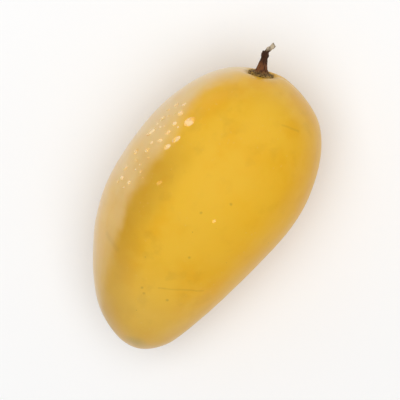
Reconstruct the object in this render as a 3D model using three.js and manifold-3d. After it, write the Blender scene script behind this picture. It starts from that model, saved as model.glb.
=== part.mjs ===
// A ripe mango lying on its cheek, with the dried stalk it was picked with.
//
// Millimetres. The finished group has +Z up and stands on z = 0. +X runs from the
// apex to the stalk end and +Y towards the back, the long curved edge of the fruit.
// Both pieces are shaped in the fruit's own growth frame, whose XY plane is the plane
// that its flat stone lies in, and the group is then turned to how the fruit rests.

import * as THREE from "three";
import { mergeVertices } from "three/addons/utils/BufferGeometryUtils.js";
import Module from "manifold-3d";

const wasm = await Module();
wasm.setup();

// ---- Driving dimensions ------------------------------------------------------------

// Edge of the fruit in its stone plane, from the stalk end round the back to the apex
// and home along the belly. Points that face each other are the ends of one section.
const STALK_END = [59.7, 8.8];
const BACK_EDGE = [
  [54.5, 18.3],
  [43.5, 27.6],
  [27, 33.9],
  [5, 36.8],
  [-18, 35],
  [-40, 26],
  [-58.5, 11.5],
];
const APEX = [-67.3, -8];
const BELLY_EDGE = [
  [-57.5, -21],
  [-35, -28],
  [-9, -33],
  [15, -36],
  [37, -32.5],
  [54.5, -21.3],
  [61.8, -2],
];
const EDGE_TENSION = 0.5;

const THICKNESS_AT_STALK = 0.9; // thickness of a section as a share of its width
const THICKNESS_AT_APEX = 0.83;
const SHOULDER_FULLNESS = 0.1; // how much fuller a section is than an ellipse beside its cheeks

const BASIN_DEPTH = 1.7; // the hollow that the stalk stands in
const BASIN_RADIUS = 8;

const FOOT_RADIUS = 5.1; // woody foot of the stalk
const SEAT_DEPTH = 0.7; // flat seat cut for the foot at the bottom of the basin
const GAP = 0.3; // clearance between the stalk and its seat
const CUTTER_HEIGHT = 10; // of the cylinder that cuts the seat, well past the skin

const FLAT_DEPTH = 0.5; // how much of the cheek is pressed flat where the fruit rests
const GROUND_SIZE = 300; // block that presses it, larger than the fruit
const SEARCH_STEPS = 240; // steps each way over the cheek in the search for that flat

const FRUIT_AROUND = 56; // facets round a section
const FRUIT_ALONG = 56; // facets from stalk end to apex
const STALK_AROUND = 20;
const MERGE_DISTANCE = 1e-3;

// Stalk outline as [radius, height above the underside of its foot].
const STALK_PROFILE = [
  [0, 0],
  [FOOT_RADIUS - 0.2, 0],
  [FOOT_RADIUS, 0.45],
  [4.3, 0.9],
  [3, 1.4],
  [2.3, 2.6],
  [1.85, 4.3],
  [1.55, 6.1],
  [1.45, 7.1],
  [1.65, 8.2],
  [1.5, 9.2],
  [1.1, 10.1],
  [0.95, 11.6],
  [1.05, 13.1],
  [0.85, 13.8],
  [0, 13.9],
];
const BEND_START = 8; // height at which the broken end turns aside, towards the belly
const BEND_LENGTH = 2.8;
const BEND_ANGLE = THREE.MathUtils.degToRad(36);

// ---- Solids ------------------------------------------------------------------------

// A closed three.js geometry as a solid that can be cut. Faces that the merging
// collapses, at the poles of a sphere or a lathe, are dropped.
function solidFrom(geometry) {
  const bare = geometry.clone();
  bare.deleteAttribute("normal");
  bare.deleteAttribute("uv");
  const merged = mergeVertices(bare, MERGE_DISTANCE);
  const triVerts = [];
  for (let i = 0; i < merged.index.count; i += 3) {
    const [a, b, c] = merged.index.array.slice(i, i + 3);
    if (a !== b && b !== c && c !== a) {
      triVerts.push(a, b, c);
    }
  }
  const mesh = new wasm.Mesh({
    numProp: 3,
    vertProperties: merged.attributes.position.array,
    triVerts: new Uint32Array(triVerts),
  });
  return new wasm.Manifold(mesh);
}

function geometryFrom(solid) {
  const mesh = solid.getMesh();
  const geometry = new THREE.BufferGeometry();
  geometry.setAttribute("position", new THREE.BufferAttribute(mesh.vertProperties, 3));
  geometry.setIndex(new THREE.BufferAttribute(mesh.triVerts, 1));
  geometry.computeVertexNormals();
  return geometry;
}

// Moves every vertex of a geometry to where `place` puts it.
function reshape(geometry, place) {
  const position = geometry.attributes.position;
  const vertex = new THREE.Vector3();
  for (let i = 0; i < position.count; i++) {
    vertex.fromBufferAttribute(position, i);
    position.setXYZ(i, ...place(vertex));
  }
  return geometry;
}

// ---- Skin of the fruit -------------------------------------------------------------

const edge = new THREE.CatmullRomCurve3(
  [STALK_END, ...BACK_EDGE, APEX, ...BELLY_EDGE].map(([x, y]) => new THREE.Vector3(x, y, 0)),
  true,
  "catmullrom",
  EDGE_TENSION,
);
const stalkEnd = edge.getPoint(0);

// The way the stalk grows out: square to the edge of the fruit.
const stalkAxis = edge.getTangent(0).cross(new THREE.Vector3(0, 0, 1)).normalize();

// Skin point at `along` (0 at the stalk end, 1 at the apex) in the direction (back, up)
// from the middle of that section.
function skinPoint(along, back, up) {
  const backPoint = edge.getPoint(along / 2);
  const bellyPoint = edge.getPoint(1 - along / 2);
  const centre = backPoint.clone().add(bellyPoint).multiplyScalar(0.5);
  const halfWidth = backPoint.clone().sub(bellyPoint).multiplyScalar(0.5);
  const thickness = THREE.MathUtils.lerp(THICKNESS_AT_STALK, THICKNESS_AT_APEX, along);
  const fullness = 1 + SHOULDER_FULLNESS * back * back;
  const point = centre.addScaledVector(halfWidth, back);
  point.z = halfWidth.length() * thickness * fullness * up;
  const nearness = Math.exp(-((point.distanceTo(stalkEnd) / BASIN_RADIUS) ** 2));
  return point.addScaledVector(stalkAxis, -BASIN_DEPTH * nearness);
}

// A sphere whose poles go to the stalk end and the apex, moved out to the skin.
function skinGeometry() {
  return reshape(new THREE.SphereGeometry(1, FRUIT_AROUND, FRUIT_ALONG), ({ x, y, z }) => {
    const fromPole = Math.hypot(x, z) || 1;
    const along = Math.acos(THREE.MathUtils.clamp(y, -1, 1)) / Math.PI;
    return skinPoint(along, z / fromPole, x / fromPole);
  });
}

// ---- Seat of the stalk -------------------------------------------------------------

// Turns a lathed shape, whose axis is +Y, so that its axis is the stalk's.
const toStalkAxis = new THREE.Quaternion().setFromUnitVectors(
  new THREE.Vector3(0, 1, 0),
  stalkAxis,
);
const seatCentre = stalkEnd.clone().addScaledVector(stalkAxis, -BASIN_DEPTH - SEAT_DEPTH);

function seatGeometry() {
  const radius = FOOT_RADIUS + GAP;
  const cutter = new THREE.CylinderGeometry(radius, radius, CUTTER_HEIGHT, 2 * STALK_AROUND);
  cutter.translate(0, CUTTER_HEIGHT / 2, 0);
  cutter.applyQuaternion(toStalkAxis);
  return cutter.translate(...seatCentre);
}

// ---- How the fruit rests -----------------------------------------------------------

// Volume-weighted middle of a closed geometry, summed over the tetrahedra between its
// faces and the origin.
function centreOfMass(geometry) {
  const position = geometry.attributes.position;
  const index = geometry.index.array;
  const sum = new THREE.Vector3();
  let volume = 0;
  for (let i = 0; i < index.length; i += 3) {
    const corners = [0, 1, 2].map((k) => {
      return new THREE.Vector3().fromBufferAttribute(position, index[i + k]);
    });
    const [a, b, c] = corners;
    const tetrahedron = a.dot(b.clone().cross(c));
    volume += tetrahedron;
    corners.forEach((corner) => sum.addScaledVector(corner, tetrahedron / 4));
  }
  return sum.divideScalar(volume);
}

// A body lies still where its skin comes nearest to its centre of mass, so this looks
// for that point over the lower cheek and gives the way down from the centre of mass.
function wayDown(centre) {
  let nearest = Infinity;
  const down = new THREE.Vector3();
  for (let i = 1; i < SEARCH_STEPS; i++) {
    for (let j = 1; j < SEARCH_STEPS; j++) {
      const angle = (j / SEARCH_STEPS) * Math.PI;
      const radius = skinPoint(i / SEARCH_STEPS, Math.cos(angle), -Math.sin(angle)).sub(centre);
      if (radius.length() < nearest) {
        nearest = radius.length();
        down.copy(radius).normalize();
      }
    }
  }
  return down;
}

const unpressed = solidFrom(skinGeometry()).subtract(solidFrom(seatGeometry()));
const restingTurn = new THREE.Quaternion().setFromUnitVectors(
  wayDown(centreOfMass(geometryFrom(unpressed))),
  new THREE.Vector3(0, 0, -1),
);

// The surface that the cheek is pressed flat against, as a block in the growth frame.
function groundGeometry() {
  const rested = geometryFrom(unpressed).applyQuaternion(restingTurn);
  rested.computeBoundingBox();
  const top = rested.boundingBox.min.z + FLAT_DEPTH;
  const ground = new THREE.BoxGeometry(GROUND_SIZE, GROUND_SIZE, GROUND_SIZE);
  ground.translate(0, 0, top - GROUND_SIZE / 2);
  return ground.applyQuaternion(restingTurn.clone().invert());
}

// ---- Pieces ------------------------------------------------------------------------

function makeFruit() {
  const solid = unpressed.subtract(solidFrom(groundGeometry()));
  const skin = new THREE.MeshStandardMaterial({ color: 0xe8b43c, roughness: 0.42, metalness: 0 });
  const fruit = new THREE.Mesh(geometryFrom(solid), skin);
  fruit.name = "fruit";
  return fruit;
}

// Carries a point of the upright stalk over to the bent one, whose middle line runs
// straight, then along an arc, then straight on.
function bend({ x, y, z }) {
  const radius = BEND_LENGTH / BEND_ANGLE;
  const onArc = THREE.MathUtils.clamp(y - BEND_START, 0, BEND_LENGTH);
  const beyond = y - BEND_START - onArc;
  const turned = onArc / radius;
  return [
    radius * (1 - Math.cos(turned)) + beyond * Math.sin(turned) + x * Math.cos(turned),
    BEND_START + radius * Math.sin(turned) + beyond * Math.cos(turned) - x * Math.sin(turned),
    z,
  ];
}

function makeStalk() {
  const profile = STALK_PROFILE.map(([radius, height]) => new THREE.Vector2(radius, height));
  const geometry = reshape(new THREE.LatheGeometry(profile, STALK_AROUND), bend);
  const bark = new THREE.MeshStandardMaterial({ color: 0x5a3c28, roughness: 0.85, metalness: 0 });
  const stalk = new THREE.Mesh(geometryFrom(solidFrom(geometry)), bark);
  stalk.name = "stalk";
  stalk.quaternion.copy(toStalkAxis);
  stalk.position.copy(seatCentre).addScaledVector(stalkAxis, GAP);
  return stalk;
}

// ---- Assembly ----------------------------------------------------------------------

const mango = new THREE.Group();
mango.add(makeFruit(), makeStalk());
mango.quaternion.copy(restingTurn);
mango.updateMatrixWorld(true);

// The origin is the middle of the underside of the box round the whole mango.
const box = new THREE.Box3().setFromObject(mango, true);
const middle = box.getCenter(new THREE.Vector3());
mango.position.set(-middle.x, -middle.y, -box.min.z);

export default mango;
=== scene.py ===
"""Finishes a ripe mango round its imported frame: the fruit, its dried stalk and drops of water.

The file is laid out as an add-on. Run as a script, it registers its classes, builds every
piece and sets a pale studio round them. All is in metres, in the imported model's own frame:
+X runs from the apex of the fruit to its stalk end, +Y towards its back and +Z up.
"""

import math
import random

import bpy
from mathutils import Matrix, Quaternion, Vector


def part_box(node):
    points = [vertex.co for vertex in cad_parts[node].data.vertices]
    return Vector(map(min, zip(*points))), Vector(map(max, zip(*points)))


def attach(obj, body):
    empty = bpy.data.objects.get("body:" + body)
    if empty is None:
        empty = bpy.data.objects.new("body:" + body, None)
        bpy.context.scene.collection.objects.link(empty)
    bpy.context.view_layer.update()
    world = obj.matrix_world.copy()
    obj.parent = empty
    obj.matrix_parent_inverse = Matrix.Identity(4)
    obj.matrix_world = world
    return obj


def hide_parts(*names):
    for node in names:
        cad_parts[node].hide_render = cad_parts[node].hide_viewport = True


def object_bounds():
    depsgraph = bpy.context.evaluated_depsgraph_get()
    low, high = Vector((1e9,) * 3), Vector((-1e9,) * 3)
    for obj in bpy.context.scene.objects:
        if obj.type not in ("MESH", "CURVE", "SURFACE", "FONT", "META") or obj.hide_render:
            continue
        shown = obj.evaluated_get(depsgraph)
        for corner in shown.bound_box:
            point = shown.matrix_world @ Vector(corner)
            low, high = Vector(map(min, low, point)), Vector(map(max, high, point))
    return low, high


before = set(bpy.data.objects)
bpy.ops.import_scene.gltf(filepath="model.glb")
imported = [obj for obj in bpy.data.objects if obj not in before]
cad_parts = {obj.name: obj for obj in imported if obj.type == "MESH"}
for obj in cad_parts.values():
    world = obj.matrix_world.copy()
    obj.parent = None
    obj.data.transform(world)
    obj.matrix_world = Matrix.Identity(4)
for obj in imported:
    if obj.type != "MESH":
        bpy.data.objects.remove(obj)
CAD_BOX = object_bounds()

bl_info = {
    "name": "Ripe Mango",
    "version": (1, 0, 0),
    "blender": (4, 5, 0),
    "location": "3D View > Sidebar > Mango",
    "description": "Builds a ripe mango with its stalk, drops of water and a pale studio",
    "category": "Object",
}

MM = 0.001
MERGE_DISTANCE = 0.001 * MM

FRUIT_LOW, FRUIT_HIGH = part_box("fruit")
FRUIT_SIZE = FRUIT_HIGH - FRUIT_LOW
FRUIT_CENTRE = (FRUIT_LOW + FRUIT_HIGH) / 2


# ---- Properties --------------------------------------------------------------------


class MangoFruitSettings(bpy.types.PropertyGroup):
    """Shape and colours of the fruit."""

    cuts: bpy.props.IntProperty(
        name="Cuts", description="Cuts across each side of the starting cube", default=27, min=3
    )
    swell: bpy.props.FloatProperty(
        name="Swell",
        description="Height of the slow swells over the skin",
        default=0.7 * MM,
        unit="LENGTH",
    )
    golden: bpy.props.FloatVectorProperty(
        name="Golden",
        description="Main colour of the skin",
        subtype="COLOR",
        default=(0.75, 0.398, 0.006),
    )
    lemon: bpy.props.FloatVectorProperty(
        name="Lemon",
        description="Paler yellow of the cheek",
        subtype="COLOR",
        default=(0.80, 0.465, 0.025),
    )
    amber: bpy.props.FloatVectorProperty(
        name="Amber", description="Riper, deeper patches", subtype="COLOR", default=(0.77, 0.39, 0.002)
    )
    tan: bpy.props.FloatVectorProperty(
        name="Tan",
        description="Weathered skin of the back",
        subtype="COLOR",
        default=(0.50, 0.26, 0.012),
    )
    # Pale colour of the waxy bloom, which also serves as a painted sheen of reflected light on the back.
    bloom_and_sheen: bpy.props.FloatVectorProperty(
        name="Bloom", description="Pale waxy bloom", subtype="COLOR", default=(0.76, 0.52, 0.205)
    )
    olive: bpy.props.FloatVectorProperty(
        name="Olive", description="Green left at the apex", subtype="COLOR", default=(0.30, 0.24, 0.03)
    )
    bruise: bpy.props.FloatVectorProperty(
        name="Bruise",
        description="Brown of scuffs and specks",
        subtype="COLOR",
        default=(0.16, 0.07, 0.015),
    )


class MangoStalkSettings(bpy.types.PropertyGroup):
    """Shape and colours of the stalk."""

    sides: bpy.props.IntProperty(
        name="Sides", description="Sides of the stalk's section", default=24, min=8
    )
    grain: bpy.props.FloatProperty(
        name="Grain",
        description="Depth of the bark's wrinkles",
        default=0.45 * MM,
        unit="LENGTH",
    )
    bark: bpy.props.FloatVectorProperty(
        name="Bark",
        description="Red brown of the lower stalk",
        subtype="COLOR",
        default=(0.17, 0.062, 0.02),
    )
    dark: bpy.props.FloatVectorProperty(
        name="Dark", description="Dried neck and knob", subtype="COLOR", default=(0.035, 0.012, 0.005)
    )
    foot: bpy.props.FloatVectorProperty(
        name="Foot", description="Corky foot", subtype="COLOR", default=(0.24, 0.14, 0.04)
    )
    wood: bpy.props.FloatVectorProperty(
        name="Wood", description="Pale broken end", subtype="COLOR", default=(0.56, 0.46, 0.32)
    )


class MangoWaterSettings(bpy.types.PropertyGroup):
    """The drops of water on the back."""

    strewing: bpy.props.IntProperty(
        name="Strewing", description="Picks another way for the drops to be strewn", default=3, min=0
    )
    flatness: bpy.props.FloatProperty(
        name="Flatness", description="Height of a drop as a share of its width", default=0.8
    )


class MangoStageSettings(bpy.types.PropertyGroup):
    """Camera, lights and floor."""

    azimuth: bpy.props.FloatProperty(
        name="Azimuth",
        description="Turn of the view round +Z",
        default=math.radians(69.9),
        unit="ROTATION",
    )
    elevation: bpy.props.FloatProperty(
        name="Elevation", description="Height of the view", default=math.radians(78.9), unit="ROTATION"
    )
    lean: bpy.props.FloatProperty(
        name="Lean",
        description="How far the fruit's length leans clockwise from the top of the view",
        default=math.radians(34.0),
        unit="ROTATION",
    )
    lens: bpy.props.FloatProperty(
        name="Lens", description="Focal length in millimetres", default=135, unit="CAMERA"
    )
    fill: bpy.props.FloatProperty(
        name="Fill",
        description="Share of the view's height that the mango's length takes",
        default=0.86,
    )


# ---- Modelling helpers -------------------------------------------------------------


def deselect():
    if bpy.context.object and bpy.context.object.mode != "OBJECT":
        bpy.ops.object.mode_set(mode="OBJECT")
    bpy.ops.object.select_all(action="DESELECT")


def only(piece):
    """Makes a piece the one that the next operators work on."""
    deselect()
    piece.select_set(True)
    bpy.context.view_layer.objects.active = piece


def select_vertices(piece, wanted):
    """Selects, in edit mode, the vertices that `wanted` says yes to."""
    only(piece)
    bpy.ops.object.mode_set(mode="EDIT")
    bpy.ops.mesh.select_mode(type="VERT")
    bpy.ops.mesh.select_all(action="DESELECT")
    bpy.ops.object.mode_set(mode="OBJECT")
    for vertex in piece.data.vertices:
        vertex.select = wanted(vertex.co)
    bpy.ops.object.mode_set(mode="EDIT")


def apply_modifier(piece, kind, **settings):
    """Adds a modifier, sets it and makes it part of the mesh."""
    only(piece)
    modifier = piece.modifiers.new(kind.title(), kind)
    for name, value in settings.items():
        setattr(modifier, name, value)
    bpy.ops.object.modifier_apply(modifier=modifier.name)


def refine(piece, levels):
    apply_modifier(piece, "SUBSURF", levels=levels, render_levels=levels)


def roughen(piece, size, height, depth=2):
    """Raises and lowers the surface by cloudy noise whose lumps are `size` across."""
    texture = bpy.data.textures.new(piece.name + "_lumps", "CLOUDS")
    texture.noise_scale = size
    texture.noise_depth = depth
    apply_modifier(
        piece, "DISPLACE", texture=texture, strength=height, mid_level=0.5, texture_coords="LOCAL"
    )
    bpy.data.textures.remove(texture)


def push(piece, points, by, reach):
    """Draws the skin at each point along by a soft push that fades out over `reach`."""
    vertices = piece.data.vertices
    nearest = [min(vertices, key=lambda v: (v.co - point).length_squared).co.copy() for point in points]
    select_vertices(piece, lambda co: co in nearest)
    bpy.ops.transform.translate(
        value=by,
        use_proportional_edit=True,
        proportional_edit_falloff="SMOOTH",
        proportional_size=reach,
    )
    bpy.ops.object.mode_set(mode="OBJECT")


def smooth_shading(piece, angle=60):
    only(piece)
    bpy.ops.object.shade_smooth_by_angle(angle=math.radians(angle))


def finish_piece(piece, name, material, node=None):
    """Names a piece, gives it its material and says what it rides with and stands for."""
    piece.name = name
    piece.data.name = name
    piece.data.materials.clear()
    piece.data.materials.append(material)
    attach(piece, "root")
    if node:
        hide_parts(node)
    return piece


def on_skin(skin, along, across):
    """Point and outward normal of the upper skin, at shares of the fruit's box from the
    apex to the stalk end and from the belly to the back."""
    start = Vector((
        FRUIT_LOW.x + along * FRUIT_SIZE.x,
        FRUIT_LOW.y + across * FRUIT_SIZE.y,
        FRUIT_HIGH.z + FRUIT_SIZE.z,
    ))
    hit, point, normal, _ = skin.ray_cast(start, Vector((0, 0, -1)))
    if not hit:
        raise RuntimeError(f"no skin at {along}, {across}")
    return point, normal


# ---- Material helpers --------------------------------------------------------------


class Wire:
    """A node's output that can be written into sums: every operator adds a Math node."""

    def __init__(self, finish, socket):
        self.finish = finish
        self.socket = socket

    def math(self, operation, *values):
        inputs = dict(enumerate(values))
        return self.finish.node("ShaderNodeMath", {"operation": operation}, inputs)

    def __add__(self, other):
        return self.math("ADD", self, other)

    def __sub__(self, other):
        return self.math("SUBTRACT", self, other)

    def __rsub__(self, other):
        return self.math("SUBTRACT", other, self)

    def __mul__(self, other):
        return self.math("MULTIPLY", self, other)

    __radd__ = __add__
    __rmul__ = __mul__


class Finish:
    """A material's nodes, with short calls for what its recipe is made of."""

    def __init__(self, name):
        self.material = bpy.data.materials.new(name)
        self.material.use_nodes = True
        self.tree = self.material.node_tree
        self.tree.nodes.clear()
        self.place = self.node("ShaderNodeTexCoord", output="Object")

    def node(self, kind, settings=None, inputs=None, output=0):
        """Adds a node: its settings are set first, then the values or links of its sockets."""
        node = self.tree.nodes.new(kind)
        for name, value in (settings or {}).items():
            setattr(node, name, value)
        for name, value in (inputs or {}).items():
            if isinstance(value, Wire):
                self.tree.links.new(value.socket, node.inputs[name])
            else:
                node.inputs[name].default_value = value
        return Wire(self, node.outputs[output]) if node.outputs else None

    def noise(self, scale, detail=2, place=None, seed=0):
        """Cloudy noise from 0 to 1, `scale` lumps to the metre."""
        moved = self.node(
            "ShaderNodeVectorMath",
            {"operation": "ADD"},
            {0: place or self.place, 1: (seed, seed / 3, -seed / 7)},
        )
        return self.node("ShaderNodeTexNoise", None, {"Vector": moved, "Scale": scale, "Detail": detail})

    def cells(self, scale, place=None):
        """Distance to the nearest of points strewn `scale` to the metre, in their own spacing."""
        settings = {"feature": "F1", "distance": "EUCLIDEAN"}
        return self.node(
            "ShaderNodeTexVoronoi", settings, {"Vector": place or self.place, "Scale": scale}
        )

    def fade(self, value, start, end):
        """0 up to `start` and 1 from `end`, with a soft step between; either way round."""
        return self.node(
            "ShaderNodeMapRange",
            {"interpolation_type": "SMOOTHSTEP"},
            {"Value": value, "From Min": start, "From Max": end},
        )

    def warp(self, amount, scale):
        """The place on the piece, pushed about by noise, so that edges of patches wander."""
        cloud = self.node(
            "ShaderNodeTexNoise", None, {"Vector": self.place, "Scale": scale, "Detail": 3}, "Color"
        )
        centred = self.node("ShaderNodeVectorMath", {"operation": "SUBTRACT"}, {0: cloud, 1: (0.5,) * 3})
        scaled = self.node("ShaderNodeVectorMath", {"operation": "SCALE"}, {0: centred, "Scale": amount})
        return self.node("ShaderNodeVectorMath", {"operation": "ADD"}, {0: self.place, 1: scaled})

    def patch(self, place, centre, reach, soft=0.5):
        """1 within an ellipsoid about a point, fading to 0 at its edge."""
        away = self.node("ShaderNodeVectorMath", {"operation": "SUBTRACT"}, {0: place, 1: centre})
        shares = tuple(1 / r for r in reach)
        ratio = self.node("ShaderNodeVectorMath", {"operation": "MULTIPLY"}, {0: away, 1: shares})
        length = self.node("ShaderNodeVectorMath", {"operation": "LENGTH"}, {0: ratio}, "Value")
        return self.fade(length, 1, 1 - soft)

    def line(self, place, start, end, width):
        """1 on the straight line between two points, fading to 0 at `width` from it."""
        span = Vector(end) - Vector(start)
        away = self.node("ShaderNodeVectorMath", {"operation": "SUBTRACT"}, {0: place, 1: start})
        direction = tuple(span.normalized())
        along = self.node(
            "ShaderNodeVectorMath", {"operation": "DOT_PRODUCT"}, {0: away, 1: direction}, "Value"
        )
        held = self.node(
            "ShaderNodeClamp", None, {"Value": along, "Min": 0, "Max": span.length}
        )
        foot = self.node(
            "ShaderNodeVectorMath", {"operation": "SCALE"}, {0: direction, "Scale": held}
        )
        gap = self.node("ShaderNodeVectorMath", {"operation": "DISTANCE"}, {0: away, 1: foot}, "Value")
        return self.fade(gap, width, 0)

    def mix(self, under, over, share):
        """The colour `over` laid on `under` by `share`."""
        return self.node(
            "ShaderNodeMix",
            {"data_type": "RGBA", "clamp_factor": True},
            {"Factor": share, 6: under, 7: over},
            output=2,
        )

    def shader(self, varying, constant, height=None, relief=1.0):
        """A Principled shader with `varying` sockets, `constant` ones and a bump."""
        inputs = {**constant, **varying}
        if height is not None:
            inputs["Normal"] = self.node(
                "ShaderNodeBump", None, {"Height": height, "Strength": 1.0, "Distance": relief}
            )
        return self.node("ShaderNodeBsdfPrincipled", None, inputs)

    def output(self, shader):
        """Joins a shader to the output and hands over the material."""
        self.node("ShaderNodeOutputMaterial", None, {"Surface": shader})
        return self.material


def rgba(colour):
    return (*colour, 1.0)


# ---- Fruit -------------------------------------------------------------------------

# Places on the upper skin are shares of the fruit's box, from the apex to the stalk end
# and from the belly to the back.
CHEEK = (0.6, 0.35)
SHOULDER = (0.9, 0.45)
RIPE_SPOT = (0.85, 0.7)
APEX_MARK = (0.05, 0.35)

# Hollows and rises pushed into the skin: place along and across, and height in millimetres.
DENTS = [(0.35, 0.6, -0.35), (0.6, 0.3, 0.3), (0.8, 0.5, -0.25), (0.2, 0.45, 0.25)]
DENT_REACH = 14 * MM

# Folds that run out from the foot of the stalk: degrees round it from the side that it
# bends to, where the fold ends and how deep it is, in millimetres.
FOLDS = [(12, 17, 0.3), (85, 9, 0.22), (150, 10, 0.25), (215, 8, 0.2), (290, 9, 0.22)]
FOLD_START = 6
FOLD_STEP = 2
FOLD_REACH = 2.6 * MM
FOLD_RISE = 0.8 * MM

BALL_MARGIN = 0.52
SWELL_SIZE = 24 * MM
PRESSED_HEIGHT = 0.12 * MM

STRAW = (0.68, 0.44, 0.10, 1)
STAIN = (0.34, 0.17, 0.03, 1)

# The pale waxy bloom, partly a painted sheen of light reflected off the waxy skin, starts at an edge that
# lies this share of the fruit's width behind its middle. The edge runs level along most of the fruit and
# draws in towards the belly at both ends; each turn is at a share of the fruit's length from the origin.
BLOOM_SHEEN_EDGE = 0.25
BLOOM_SHEEN_SOFTNESS = 0.08
BLOOM_SHEEN_APEX_TURN = -0.1
BLOOM_SHEEN_APEX_SLOPE = 0.28
BLOOM_SHEEN_STALK_TURN = 0.32
BLOOM_SHEEN_STALK_SLOPE = 0.72

# A long scratch across the thin end, a scuff on the back and a nick on the shoulder. Each
# has its middle, its heading in degrees from the fruit's length, and its length, width
# and depth of colour.
SCRATCHES = [
    ((0.3, 0.3), -60, 17, 0.7, 0.15),
    ((0.3, 0.75), 70, 7, 2.2, 0.12),
    ((0.9, 0.3), -80, 6, 0.8, 0.14),
]
SCRATCH_STEPS = 4
SPECK_COUNT = 6
SPECK_SPAN = ((0.2, 0.85), (0.3, 0.65))
SPECK_RADIUS = 0.9 * MM
SPECK_SEED = 7


def stalk_seat():
    """Middle of the stalk's foot, the way that the stalk grows and the side that it bends to.

    The underside of the foot is the largest flat of the stalk's solid, and it is square
    to the stalk."""
    flats = {}
    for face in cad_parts["stalk"].data.polygons:
        key = tuple(round(c, 2) for c in face.normal)
        flats.setdefault(key, []).append(face)
    foot = max(flats.values(), key=lambda faces: sum(f.area for f in faces))
    area = sum(f.area for f in foot)
    centre = sum((f.center * f.area for f in foot), Vector()) / area
    axis = -sum((f.normal * f.area for f in foot), Vector()).normalized()
    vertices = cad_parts["stalk"].data.vertices
    tip = max((v.co for v in vertices), key=lambda co: (co - centre).dot(axis)).copy()
    side = (tip - centre) - axis * (tip - centre).dot(axis)
    return centre, axis, side.normalized()


def merged_copy(node):
    """A copy of a CAD solid with a mesh of its own, its loose triangles joined."""
    copy = bpy.data.objects.new(node + "_copy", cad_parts[node].data.copy())
    bpy.context.scene.collection.objects.link(copy)
    only(copy)
    bpy.ops.object.mode_set(mode="EDIT")
    bpy.ops.mesh.select_all(action="SELECT")
    bpy.ops.mesh.remove_doubles(threshold=MERGE_DISTANCE)
    bpy.ops.object.mode_set(mode="OBJECT")
    return copy


def quad_ball(centre, half_size, cuts):
    """A ball of even quads, stretched to the given half sizes."""
    deselect()
    bpy.ops.mesh.primitive_cube_add(size=2)
    ball = bpy.context.object
    bpy.ops.object.mode_set(mode="EDIT")
    bpy.ops.mesh.select_all(action="SELECT")
    bpy.ops.mesh.subdivide(number_cuts=cuts)
    bpy.ops.object.mode_set(mode="OBJECT")
    apply_modifier(ball, "CAST", cast_type="SPHERE", factor=1, size=1)
    ball.scale = half_size
    ball.location = centre
    bpy.ops.object.transform_apply(location=True, rotation=True, scale=True)
    return ball


def shape_fruit(settings):
    """Draws a ball of quads down onto the solid, then swells, dents and folds its skin."""
    solid = merged_copy("fruit")
    fruit = quad_ball(FRUIT_CENTRE, FRUIT_SIZE * BALL_MARGIN, settings.cuts)
    apply_modifier(
        fruit, "SHRINKWRAP", target=solid, wrap_method="PROJECT", use_negative_direction=True,
        use_positive_direction=True,
    )
    apply_modifier(fruit, "SHRINKWRAP", target=solid, wrap_method="NEAREST_SURFACEPOINT")
    bpy.data.objects.remove(solid)
    apply_modifier(fruit, "SMOOTH", factor=0.5, iterations=4)
    refine(fruit, 2)
    roughen(fruit, SWELL_SIZE, settings.swell)
    for along, across, height in DENTS:
        point, normal = on_skin(fruit, along, across)
        push(fruit, [point], normal * height * MM, DENT_REACH)
    pucker_basin(fruit)
    press_flat(fruit)
    return fruit


def pucker_basin(fruit):
    """Draws the skin in along short folds that run out from the foot of the stalk."""
    centre, axis, side = stalk_seat()
    for turn, end, depth in FOLDS:
        out = Quaternion(axis, math.radians(turn)) @ side
        stops = range(FOLD_START, end, FOLD_STEP)
        points = [centre + out * stop * MM + axis * FOLD_RISE for stop in stops]
        push(fruit, points, axis * -depth * MM, FOLD_REACH)


def press_flat(fruit):
    """Presses what lies lowest flat onto the ground, where the fruit rests."""
    select_vertices(fruit, lambda co: co.z < PRESSED_HEIGHT)
    bpy.ops.transform.resize(value=(1, 1, 0), center_override=(0, 0, 0))
    bpy.ops.object.mode_set(mode="OBJECT")


def stroke(middle, heading, length):
    """Places in even steps along a straight stroke about its middle."""
    turn = math.radians(heading)
    reach = Vector((math.cos(turn) / FRUIT_SIZE.x, math.sin(turn) / FRUIT_SIZE.y)) * length * MM
    return [Vector(middle) + reach * (k / SCRATCH_STEPS - 0.5) for k in range(SCRATCH_STEPS + 1)]


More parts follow.
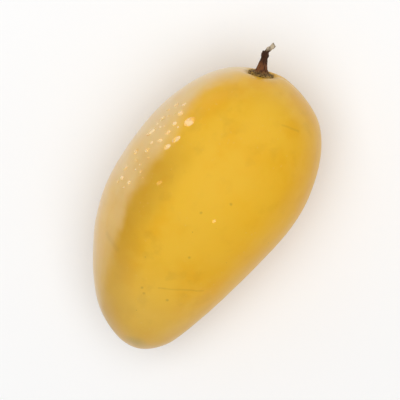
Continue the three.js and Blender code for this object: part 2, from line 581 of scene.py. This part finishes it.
def skin_material(settings, skin):
    finish = Finish("mango_skin")
    place = finish.warp(9 * MM, 60)
    centre, axis, _ = stalk_seat()

    def at(along, across):
        return tuple(on_skin(skin, along, across)[0])

    golden, lemon, amber, tan, bloom_and_sheen, olive, bruise = (
        rgba(getattr(settings, name))
        for name in ("golden", "lemon", "amber", "tan", "bloom_and_sheen", "olive", "bruise")
    )

    # Slow drifts from golden to lemon and amber, with a finer mottle over them.
    colour = finish.mix(golden, lemon, finish.fade(finish.noise(30, 3, seed=1), 0.38, 0.62))
    colour = finish.mix(colour, amber, 0.6 * finish.fade(finish.noise(60, 3, seed=4), 0.46, 0.66))
    colour = finish.mix(colour, lemon, 0.6 * finish.fade(finish.noise(110, 4, seed=21), 0.46, 0.64))
    colour = finish.mix(colour, tan, 0.2 * finish.fade(finish.noise(150, 4, seed=15), 0.52, 0.72))

    # Paler yellow on the cheek and the shoulder.
    for middle, reach, share in ((CHEEK, 42 * MM, 0.6), (SHOULDER, 22 * MM, 0.95)):
        cheek = finish.patch(place, at(*middle), (reach, 0.6 * reach, 0.6 * reach), 0.9)
        colour = finish.mix(colour, lemon, share * cheek)

    # The belly is riper and the apex keeps some green.
    sides = finish.node("ShaderNodeSeparateXYZ", None, {0: place}, "Y")
    lengths = finish.node("ShaderNodeSeparateXYZ", None, {0: place}, "X")
    heights = finish.node("ShaderNodeSeparateXYZ", None, {0: place}, "Z")
    belly = finish.fade(sides, -0.05 * FRUIT_SIZE.y, -0.5 * FRUIT_SIZE.y)
    colour = finish.mix(colour, amber, 0.6 * belly)

    # How far the skin lies behind the middle, with the run of the edge of the bloom and its painted sheen
    # made level.
    apex_draw = lengths.math("MINIMUM", lengths - BLOOM_SHEEN_APEX_TURN * FRUIT_SIZE.x, 0) * BLOOM_SHEEN_APEX_SLOPE
    stalk_draw = lengths.math("MAXIMUM", lengths - BLOOM_SHEEN_STALK_TURN * FRUIT_SIZE.x, 0) * BLOOM_SHEEN_STALK_SLOPE
    behind = sides - apex_draw + stalk_draw
    edge = BLOOM_SHEEN_EDGE * FRUIT_SIZE.y

    # Weathered skin in a strip along that edge, from the middle of the fruit to the apex.
    worn = finish.fade(behind, edge - 14 * MM, edge) * finish.fade(behind, edge + 14 * MM, edge)
    worn = worn * finish.fade(lengths, 0.22 * FRUIT_SIZE.x, 0.02 * FRUIT_SIZE.x)
    colour = finish.mix(colour, tan, worn * (0.4 + 0.4 * finish.noise(40, 3, seed=17)))

    # Waxy bloom over the back, thinner towards the apex and the underside. Its pale colour is partly real
    # bloom and partly a painted sheen of reflected light.
    back = finish.fade(behind, edge, edge + BLOOM_SHEEN_SOFTNESS * FRUIT_SIZE.y)
    thick = 0.32 + 0.68 * finish.fade(lengths, -0.45 * FRUIT_SIZE.x, 0.05 * FRUIT_SIZE.x)
    thick = thick * (0.12 + 0.88 * finish.fade(heights, 0.2 * FRUIT_SIZE.z, 0.52 * FRUIT_SIZE.z))
    patchy = 0.42 + 0.5 * finish.fade(finish.noise(48, 3, seed=12), 0.3, 0.62)
    colour = finish.mix(colour, bloom_and_sheen, back * thick * patchy)
    ripe = finish.patch(place, at(*RIPE_SPOT), (13 * MM, 6 * MM, 9 * MM), 0.8)
    colour = finish.mix(colour, amber, 0.75 * ripe)
    apex = finish.fade(lengths, FRUIT_LOW.x + 0.22 * FRUIT_SIZE.x, FRUIT_LOW.x)
    colour = finish.mix(colour, STRAW, 0.45 * finish.fade(lengths, -18 * MM, -58 * MM))
    colour = finish.mix(colour, tan, 0.35 * apex)
    green = finish.patch(place, at(*APEX_MARK), (6 * MM, 7 * MM, 7 * MM), 0.9)
    colour = finish.mix(colour, olive, 0.4 * green)

    # Lenticels: fine pale dots all over, and a few darker ones.
    dots = finish.cells(430, finish.warp(2 * MM, 300))
    pale_dots = finish.fade(dots, 0.20, 0.08) * finish.fade(finish.noise(90, seed=8), 0.45, 0.6)
    colour = finish.mix(colour, bloom_and_sheen, 0.14 * pale_dots)
    dark_dots = finish.fade(finish.cells(150), 0.05, 0.025)
    colour = finish.mix(colour, bruise, 0.3 * dark_dots)

    # Scuffs and specks, whose edges wander only a little.
    near = finish.warp(1.4 * MM, 180)
    scuffs = 0
    for middle, heading, length, width, depth in SCRATCHES:
        stops = stroke(middle, heading, length)
        trail = 0
        for stop, next_stop in zip(stops, stops[1:]):
            piece = finish.line(near, at(*stop), at(*next_stop), width * MM)
            trail = piece.math("MAXIMUM", piece, trail)
        scuffs = trail * depth + scuffs
    rng = random.Random(SPECK_SEED)
    for _ in range(SPECK_COUNT):
        spot = at(*(rng.uniform(*span) for span in SPECK_SPAN))
        scuffs = scuffs + finish.patch(near, spot, (SPECK_RADIUS,) * 3, 0.9) * 0.3
    colour = finish.mix(colour, bruise, scuffs)

    # Brown stain round the foot of the stalk.
    ring = finish.patch(finish.warp(3 * MM, 260), tuple(centre + axis * MM), (7.6 * MM,) * 3, 0.45)
    colour = finish.mix(colour, STAIN, 0.7 * ring)

    # Gloss wanders a little, and is duller over scuffs and the stain.
    mottle = finish.noise(240, 3, seed=2)
    roughness = 0.3 + 0.12 * mottle + 0.2 * scuffs + 0.3 * ring
    coat = 0.5 + 0.4 * back - 0.35 * belly - 0.25 * finish.noise(70, 2, seed=9) - 0.5 * ring

    # Fine pores, a slow waviness and slightly raised lenticels.
    pores = finish.noise(2600, 2) * 0.05
    height = pores + 0.06 * pale_dots + 0.25 * finish.noise(420, 3) - 0.2 * scuffs
    constant = {
        "IOR": 1.45,
        "Specular IOR Level": 0.35,
        "Subsurface Weight": 0.12,
        "Subsurface Radius": (1.0, 0.4, 0.08),
        "Subsurface Scale": 3 * MM,
        "Coat Roughness": 0.3,
        "Coat IOR": 1.5,
    }
    varying = {"Base Color": colour, "Roughness": roughness, "Coat Weight": coat}
    return finish.output(finish.shader(varying, constant, height, 0.12 * MM))


class MANGO_OT_fruit(bpy.types.Operator):
    """Shape the fruit over its solid and give it its skin"""

    bl_idname = "mango.fruit"
    bl_label = "Fruit"

    def execute(self, context):
        settings = context.scene.mango_fruit
        fruit = shape_fruit(settings)
        smooth_shading(fruit, 80)
        finish_piece(fruit, "mango_fruit", skin_material(settings, fruit), "fruit")
        return {"FINISHED"}


# ---- Stalk -------------------------------------------------------------------------

# Rings of the upright stalk, as [height, radius] in millimetres. Heights are above the
# underside of its solid; the first ring is rooted under the skin, so that no slit shows.
STALK_RINGS = [
    (-1.4, 4.8),
    (0.0, 5.2),
    (0.35, 5.25),
    (0.62, 4.9),
    (0.74, 4.1),
    (0.9, 3.3),
    (1.4, 2.65),
    (2.2, 2.3),
    (3.2, 2.05),
    (4.2, 1.8),
    (5.2, 1.55),
    (6.1, 1.4),
    (6.8, 1.2),
    (7.3, 1.45),
    (7.9, 1.7),
    (8.6, 1.55),
    (9.2, 1.3),
    (9.7, 1.0),
    (10.6, 0.85),
    (11.6, 0.82),
    (12.6, 0.92),
    (13.4, 1.02),
    (13.7, 0.8),
]
STALK_BEND_HEIGHTS = [8.4, 9.0, 9.6, 10.2]
STALK_BEND_STEP = math.radians(9.5)
STALK_PINCH = (-0.17, 0.11)
TEAR = (-0.45, 0.5)
PITH_INSET = 0.3 * MM
PITH_DEPTH = 0.25 * MM
GRAIN_STRETCH = 4
FURROW_SEED = 5
TEAR_SEED = 11
RIM = (0.42, 0.25, 0.05, 1)
FLECKS = (0.40, 0.26, 0.06, 1)


def raise_rings(sides):
    """Extrudes a disc upwards ring by ring into the upright stalk."""
    deselect()
    height, radius = STALK_RINGS[0]
    bpy.ops.mesh.primitive_circle_add(
        vertices=sides, radius=radius * MM, fill_type="NGON", location=(0, 0, height * MM)
    )
    stalk = bpy.context.object
    bpy.ops.object.transform_apply(location=True)
    bpy.ops.object.mode_set(mode="EDIT")
    bpy.ops.mesh.select_mode(type="FACE")
    bpy.ops.mesh.select_all(action="SELECT")
    for next_height, next_radius in STALK_RINGS[1:]:
        rise = (0, 0, (next_height - height) * MM)
        bpy.ops.mesh.extrude_region_move(TRANSFORM_OT_translate={"value": rise})
        grow = next_radius / radius
        centre = (0, 0, next_height * MM)
        bpy.ops.transform.resize(value=(grow, grow, 1), center_override=centre)
        height, radius = next_height, next_radius
    bpy.ops.mesh.inset(thickness=PITH_INSET)
    bpy.ops.transform.translate(value=(0, 0, -PITH_DEPTH))
    bpy.ops.object.mode_set(mode="OBJECT")
    return stalk


def furrow(stalk, sides):
    """Draws some columns of the stalk in and others out, into the ridges of dried bark."""
    rng = random.Random(FURROW_SEED)
    step = 2 * math.pi / sides
    for column in range(sides):
        squeeze = 1 + rng.uniform(*STALK_PINCH)
        middle = column * step

        def in_column(co, middle=middle):
            turn = math.atan2(co.y, co.x) - middle
            away = abs((turn + math.pi) % (2 * math.pi) - math.pi)
            return away < step / 2 and 0.3 * MM < co.z and co.xy.length > 0.1 * MM

        select_vertices(stalk, in_column)
        bpy.ops.transform.resize(value=(squeeze, squeeze, 1), center_override=(0, 0, 0))
    bpy.ops.object.mode_set(mode="OBJECT")


def splinter(stalk):
    """Tears the broken end: its rim stands up here and there."""
    rng = random.Random(TEAR_SEED)
    top = STALK_RINGS[-1][0] * MM
    rim = [v.co.copy() for v in stalk.data.vertices if v.co.z > top - 0.5 * MM]
    for corner in rim[::3]:
        select_vertices(stalk, lambda co: (co - corner).length < 0.01 * MM)
        bpy.ops.transform.translate(value=(0, 0, rng.uniform(*TEAR) * MM))
    bpy.ops.object.mode_set(mode="OBJECT")


def bend_over(stalk):
    """Turns the stalk's end aside in a few steps, each about its own height."""
    for step, height in enumerate(STALK_BEND_HEIGHTS):
        turned = step * STALK_BEND_STEP
        below = STALK_BEND_HEIGHTS[0]
        centre = Vector((0, 0, below))
        for k in range(1, step + 1):
            run = STALK_BEND_HEIGHTS[k] - STALK_BEND_HEIGHTS[k - 1]
            angle = k * STALK_BEND_STEP
            centre += Vector((math.sin(angle), 0, math.cos(angle))) * run
        centre *= MM
        up = Vector((math.sin(turned), 0, math.cos(turned)))

        def beyond(co, centre=centre, up=up):
            return (co - centre).dot(up) > -MERGE_DISTANCE and co.z > below * MM * 0.9

        select_vertices(stalk, beyond)
        bpy.ops.transform.rotate(value=-STALK_BEND_STEP, orient_axis="Y", center_override=centre)
    bpy.ops.object.mode_set(mode="OBJECT")


def shape_stalk(settings):
    stalk = raise_rings(settings.sides)
    furrow(stalk, settings.sides)
    splinter(stalk)
    bend_over(stalk)
    refine(stalk, 2)
    stalk.scale = (1, 1, 1 / GRAIN_STRETCH)
    bpy.ops.object.transform_apply(scale=True)
    roughen(stalk, 0.9 * MM, settings.grain, 3)
    stalk.scale = (1, 1, GRAIN_STRETCH)
    bpy.ops.object.transform_apply(scale=True)
    roughen(stalk, 0.5 * MM, 0.35 * settings.grain)
    return stalk


def place_stalk(stalk):
    centre, axis, side = stalk_seat()
    turn = Matrix((side, axis.cross(side), axis)).transposed().to_4x4()
    stalk.matrix_world = Matrix.Translation(centre) @ turn
    only(stalk)
    bpy.ops.object.transform_apply(location=True, rotation=True, scale=True)


def stalk_material(settings):
    finish = Finish("mango_stalk")
    centre, axis, side = stalk_seat()
    bark, dark, foot, wood = (rgba(getattr(settings, name)) for name in ("bark", "dark", "foot", "wood"))

    away = finish.node(
        "ShaderNodeVectorMath", {"operation": "SUBTRACT"}, {0: finish.place, 1: tuple(centre)}
    )
    height = finish.node(
        "ShaderNodeVectorMath", {"operation": "DOT_PRODUCT"}, {0: away, 1: tuple(axis)}, "Value"
    )
    wander = finish.noise(900, 3) * (1.6 * MM)
    level = height + wander
    reach = finish.node("ShaderNodeVectorMath", {"operation": "LENGTH"}, {0: away}, "Value")

    rim = finish.fade(reach + wander, 4.4 * MM, 5.6 * MM)
    colour = finish.mix(foot, RIM, 0.75 * rim)
    colour = finish.mix(colour, bark, finish.fade(level, 1.4 * MM, 3.0 * MM))
    colour = finish.mix(colour, dark, 0.85 * finish.fade(level, 4.5 * MM, 7.0 * MM))
    broken = finish.fade(reach + wander, 10.4 * MM, 11.8 * MM)
    colour = finish.mix(colour, wood, broken)

    # Fibres run along the stalk: noise drawn out lengthwise.
    rise = finish.node(
        "ShaderNodeVectorMath", {"operation": "SCALE"}, {0: tuple(axis), "Scale": height * 0.85}
    )
    squeezed = finish.node("ShaderNodeVectorMath", {"operation": "SUBTRACT"}, {0: away, 1: rise})
    fibres = finish.noise(1500, 4, squeezed, 3)
    colour = finish.mix(colour, dark, 0.8 * finish.fade(fibres, 0.47, 0.6) * (1 - 0.25 * broken))
    flecks = finish.fade(finish.noise(1500, 2, seed=6), 0.6, 0.72) * finish.fade(level, 4 * MM, 1 * MM)
    colour = finish.mix(colour, FLECKS, 0.45 * flecks)

    roughness = 0.55 + 0.3 * fibres
    relief = fibres + 0.4 * finish.noise(5000, 2)
    varying = {"Base Color": colour, "Roughness": roughness}
    return finish.output(finish.shader(varying, {"Specular IOR Level": 0.35}, relief, 0.35 * MM))


class MANGO_OT_stalk(bpy.types.Operator):
    """Raise the dried stalk ring by ring, bend it over and set it in its seat"""

    bl_idname = "mango.stalk"
    bl_label = "Stalk"

    def execute(self, context):
        settings = context.scene.mango_stalk
        stalk = shape_stalk(settings)
        place_stalk(stalk)
        smooth_shading(stalk)
        finish_piece(stalk, "mango_stalk", stalk_material(settings), "stalk")
        return {"FINISHED"}


# ---- Water -------------------------------------------------------------------------

# The water lies in two clusters on the back, with a few loose drops about them. A cluster
# has its middle, its number of drops and its number of fine ones; a loose drop has its
# place, length and width. Clusters spread by shares of the fruit's box.
CLUSTERS = [((0.7, 0.83), 8, 9), ((0.53, 0.87), 6, 7)]
CLUSTER_REACH = (0.08, 0.08)
LOOSE_DROPS = [
    ((0.75, 0.75), 5.5, 3.6),
    ((0.65, 0.9), 5.5, 2.3),
    ((0.55, 0.7), 3, 1.5),
    ((0.55, 0.35), 1.7, 1.4),
]
DROP_WIDTHS = (1.6, 2.4)
FINE_WIDTHS = (0.7, 1.2)
LONGEST_DROP = 2
DROP_SPACING = 0.55
DROP_SINK = 0.13
DROP_LEAN = math.radians(-25)


def add_drop(skin, along, across, length, width, flatness):
    """One drop: a flattened ball whose centre lies a little under the skin."""
    point, normal = on_skin(skin, along, across)
    deselect()
    bpy.ops.mesh.primitive_ico_sphere_add(subdivisions=3, radius=0.5 * MM)
    drop = bpy.context.object
    lengthwise = Vector((1, 0, 0))
    lengthwise = (lengthwise - normal * lengthwise.dot(normal)).normalized()
    lengthwise = Quaternion(normal, DROP_LEAN) @ lengthwise
    turn = Matrix((lengthwise, normal.cross(lengthwise), normal)).transposed().to_4x4()
    sink = DROP_SINK * width * MM
    size = Matrix.Diagonal((length, width, width * flatness, 1))
    drop.matrix_world = Matrix.Translation(point - normal * sink) @ turn @ size
    bpy.ops.object.transform_apply(location=True, rotation=True, scale=True)
    return drop


def drop_places(settings):
    """The loose drops, then those strewn in each cluster, all clear of one another."""
    rng = random.Random(settings.strewing)
    places = [(*place, length, width) for place, length, width in LOOSE_DROPS]

    def strew(middle, count, widths):
        wanted = len(places) + count
        while len(places) < wanted:
            turn, away = rng.uniform(0, 2 * math.pi), math.sqrt(rng.random())
            along = middle[0] + CLUSTER_REACH[0] * away * math.cos(turn)
            across = middle[1] + CLUSTER_REACH[1] * away * math.sin(turn)
            width = rng.uniform(*widths)
            length = width * rng.uniform(1, LONGEST_DROP)
            clear = all(
                math.hypot((along - a) * FRUIT_SIZE.x, (across - b) * FRUIT_SIZE.y)
                > (length + other) * DROP_SPACING * MM
                for a, b, other, _ in places
            )
            if clear:
                places.append((along, across, length, width))

    for middle, count, fine in CLUSTERS:
        strew(middle, count, DROP_WIDTHS)
        strew(middle, fine, FINE_WIDTHS)
    return places


CLEAR_WATER = {"Base Color": (1, 0.95, 0.8, 1), "IOR": 1.33, "Transmission Weight": 1.0}
BRIGHT_WATER = {"Base Color": (1, 0.86, 0.56, 1), "IOR": 1.33}


def water_material():
    """Clear water with pale, opaque patches that stand in for its highlights."""
    finish = Finish("mango_water")
    ripple = finish.noise(330, 1, seed=2)
    clear = finish.shader({"Roughness": 0.02 + 0.05 * ripple}, CLEAR_WATER)
    bright = finish.shader({"Roughness": 0.1 + 0.1 * ripple}, BRIGHT_WATER)
    share = 0.08 + 0.44 * finish.fade(ripple, 0.42, 0.66)
    both = finish.node("ShaderNodeMixShader", None, {"Fac": share, 1: clear, 2: bright})
    return finish.output(both)


class MANGO_OT_water(bpy.types.Operator):
    """Set drops of water on the back of the fruit"""

    bl_idname = "mango.water"
    bl_label = "Water drops"

    def execute(self, context):
        settings = context.scene.mango_water
        skin = bpy.data.objects["mango_fruit"]
        drops = [add_drop(skin, *place, settings.flatness) for place in drop_places(settings)]
        deselect()
        for drop in drops:
            drop.select_set(True)
        bpy.context.view_layer.objects.active = drops[0]
        bpy.ops.object.join()
        smooth_shading(drops[0], 80)
        finish_piece(drops[0], "water_drops", water_material())
        drops[0].visible_shadow = False
        return {"FINISHED"}


# ---- Stage -------------------------------------------------------------------------


FLOOR_SIZE = 6
FLOOR_TONES = ((0.93, 0.93, 0.93, 1), (0.96, 0.96, 0.96, 1))
SENSOR_WIDTH = 36
ROOM_LIGHT = 0.4

# The panel behind the back hangs clear of the floor, so that its light fades out softly.
OVERHEAD = {"place": (0.10, -0.10, 1.1), "size": (1.2, 1.2), "power": 10.1}
BACK_WALL = {"place": (0.09, 0.39, 0.17), "size": (1.0, 0.11), "power": 0.3}
BACK_WALL_TARGET = (0, 0, 0.04)


def add_floor():
    deselect()
    bpy.ops.mesh.primitive_plane_add(size=FLOOR_SIZE)
    floor = bpy.context.object
    floor.name = "floor"
    finish = Finish("pale_floor")
    cloud = finish.noise(7, 3)
    colour = finish.mix(*FLOOR_TONES, cloud)
    paper = finish.shader({"Base Color": colour}, {"Roughness": 0.75, "Specular IOR Level": 0.2})
    floor.data.materials.append(finish.output(paper))


def add_camera(settings):
    turn, height = settings.azimuth, settings.elevation
    level = Vector((math.sin(turn), -math.cos(turn), 0))
    back = level * math.cos(height) + Vector((0, 0, math.sin(height)))
    low, high = CAD_BOX
    low, high = Vector(low), Vector(high)
    target = (low + high) / 2
    lengthwise = Vector((1, 0, 0))
    lengthwise = (lengthwise - back * lengthwise.dot(back)).normalized()
    up = Quaternion(back, settings.lean) @ lengthwise
    data = bpy.data.cameras.new("camera")
    data.lens = settings.lens
    data.sensor_width = SENSOR_WIDTH
    view_height = (high.x - low.x) / settings.fill
    distance = view_height * data.lens / data.sensor_width
    camera = bpy.data.objects.new("camera", data)
    bpy.context.scene.collection.objects.link(camera)
    axes = Matrix((up.cross(back), up, back)).transposed().to_4x4()
    camera.matrix_world = Matrix.Translation(target + back * distance) @ axes
    bpy.context.scene.camera = camera


def add_panel(name, target, place, size, power, glossy=True):
    """A soft rectangular light at `place` that faces `target`."""
    data = bpy.data.lights.new(name, "AREA")
    data.shape = "RECTANGLE"
    data.size, data.size_y = size
    data.energy = power
    light = bpy.data.objects.new(name, data)
    bpy.context.scene.collection.objects.link(light)
    light.location = place
    light.rotation_euler = (Vector(target) - Vector(place)).to_track_quat("-Z", "Y").to_euler()
    light.visible_camera = False
    light.visible_glossy = glossy


def add_lights():
    middle = (0, 0, FRUIT_CENTRE.z)
    add_panel("overhead", middle, **OVERHEAD, glossy=False)
    add_panel("back_wall", BACK_WALL_TARGET, **BACK_WALL)
    world = bpy.data.worlds.new("pale_room")
    bpy.context.scene.world = world
    world.use_nodes = True
    background = world.node_tree.nodes["Background"]
    background.inputs["Color"].default_value = (1, 1, 1, 1)
    background.inputs["Strength"].default_value = ROOM_LIGHT


class MANGO_OT_stage(bpy.types.Operator):
    """Lay the pale floor and set the camera and the soft lights"""

    bl_idname = "mango.stage"
    bl_label = "Stage"

    def execute(self, context):
        add_floor()
        add_camera(context.scene.mango_stage)
        add_lights()
        context.scene.view_settings.view_transform = "Standard"
        return {"FINISHED"}


# ---- Panel and registration --------------------------------------------------------


class MANGO_PT_panel(bpy.types.Panel):
    """Buttons for each piece, with its sizes and colours"""

    bl_idname = "MANGO_PT_panel"
    bl_label = "Ripe Mango"
    bl_space_type = "VIEW_3D"
    bl_region_type = "UI"
    bl_category = "Mango"

    def draw(self, context):
        for operator, group in STEPS:
            column = self.layout.column(align=True)
            column.operator(operator.bl_idname)
            settings = getattr(context.scene, group)
            for name in settings.__annotations__:
                column.prop(settings, name)


STEPS = [
    (MANGO_OT_fruit, "mango_fruit"),
    (MANGO_OT_stalk, "mango_stalk"),
    (MANGO_OT_water, "mango_water"),
    (MANGO_OT_stage, "mango_stage"),
]
SETTINGS = {
    "mango_fruit": MangoFruitSettings,
    "mango_stalk": MangoStalkSettings,
    "mango_water": MangoWaterSettings,
    "mango_stage": MangoStageSettings,
}
CLASSES = [*SETTINGS.values(), *(operator for operator, _ in STEPS), MANGO_PT_panel]


def register():
    for cls in CLASSES:
        bpy.utils.register_class(cls)
    for name, group in SETTINGS.items():
        setattr(bpy.types.Scene, name, bpy.props.PointerProperty(type=group))


def unregister():
    for name in SETTINGS:
        delattr(bpy.types.Scene, name)
    for cls in reversed(CLASSES):
        bpy.utils.unregister_class(cls)


def main():
    register()
    bpy.ops.mango.fruit()
    bpy.ops.mango.stalk()
    bpy.ops.mango.water()
    bpy.ops.mango.stage()


if __name__ == "__main__":
    main()
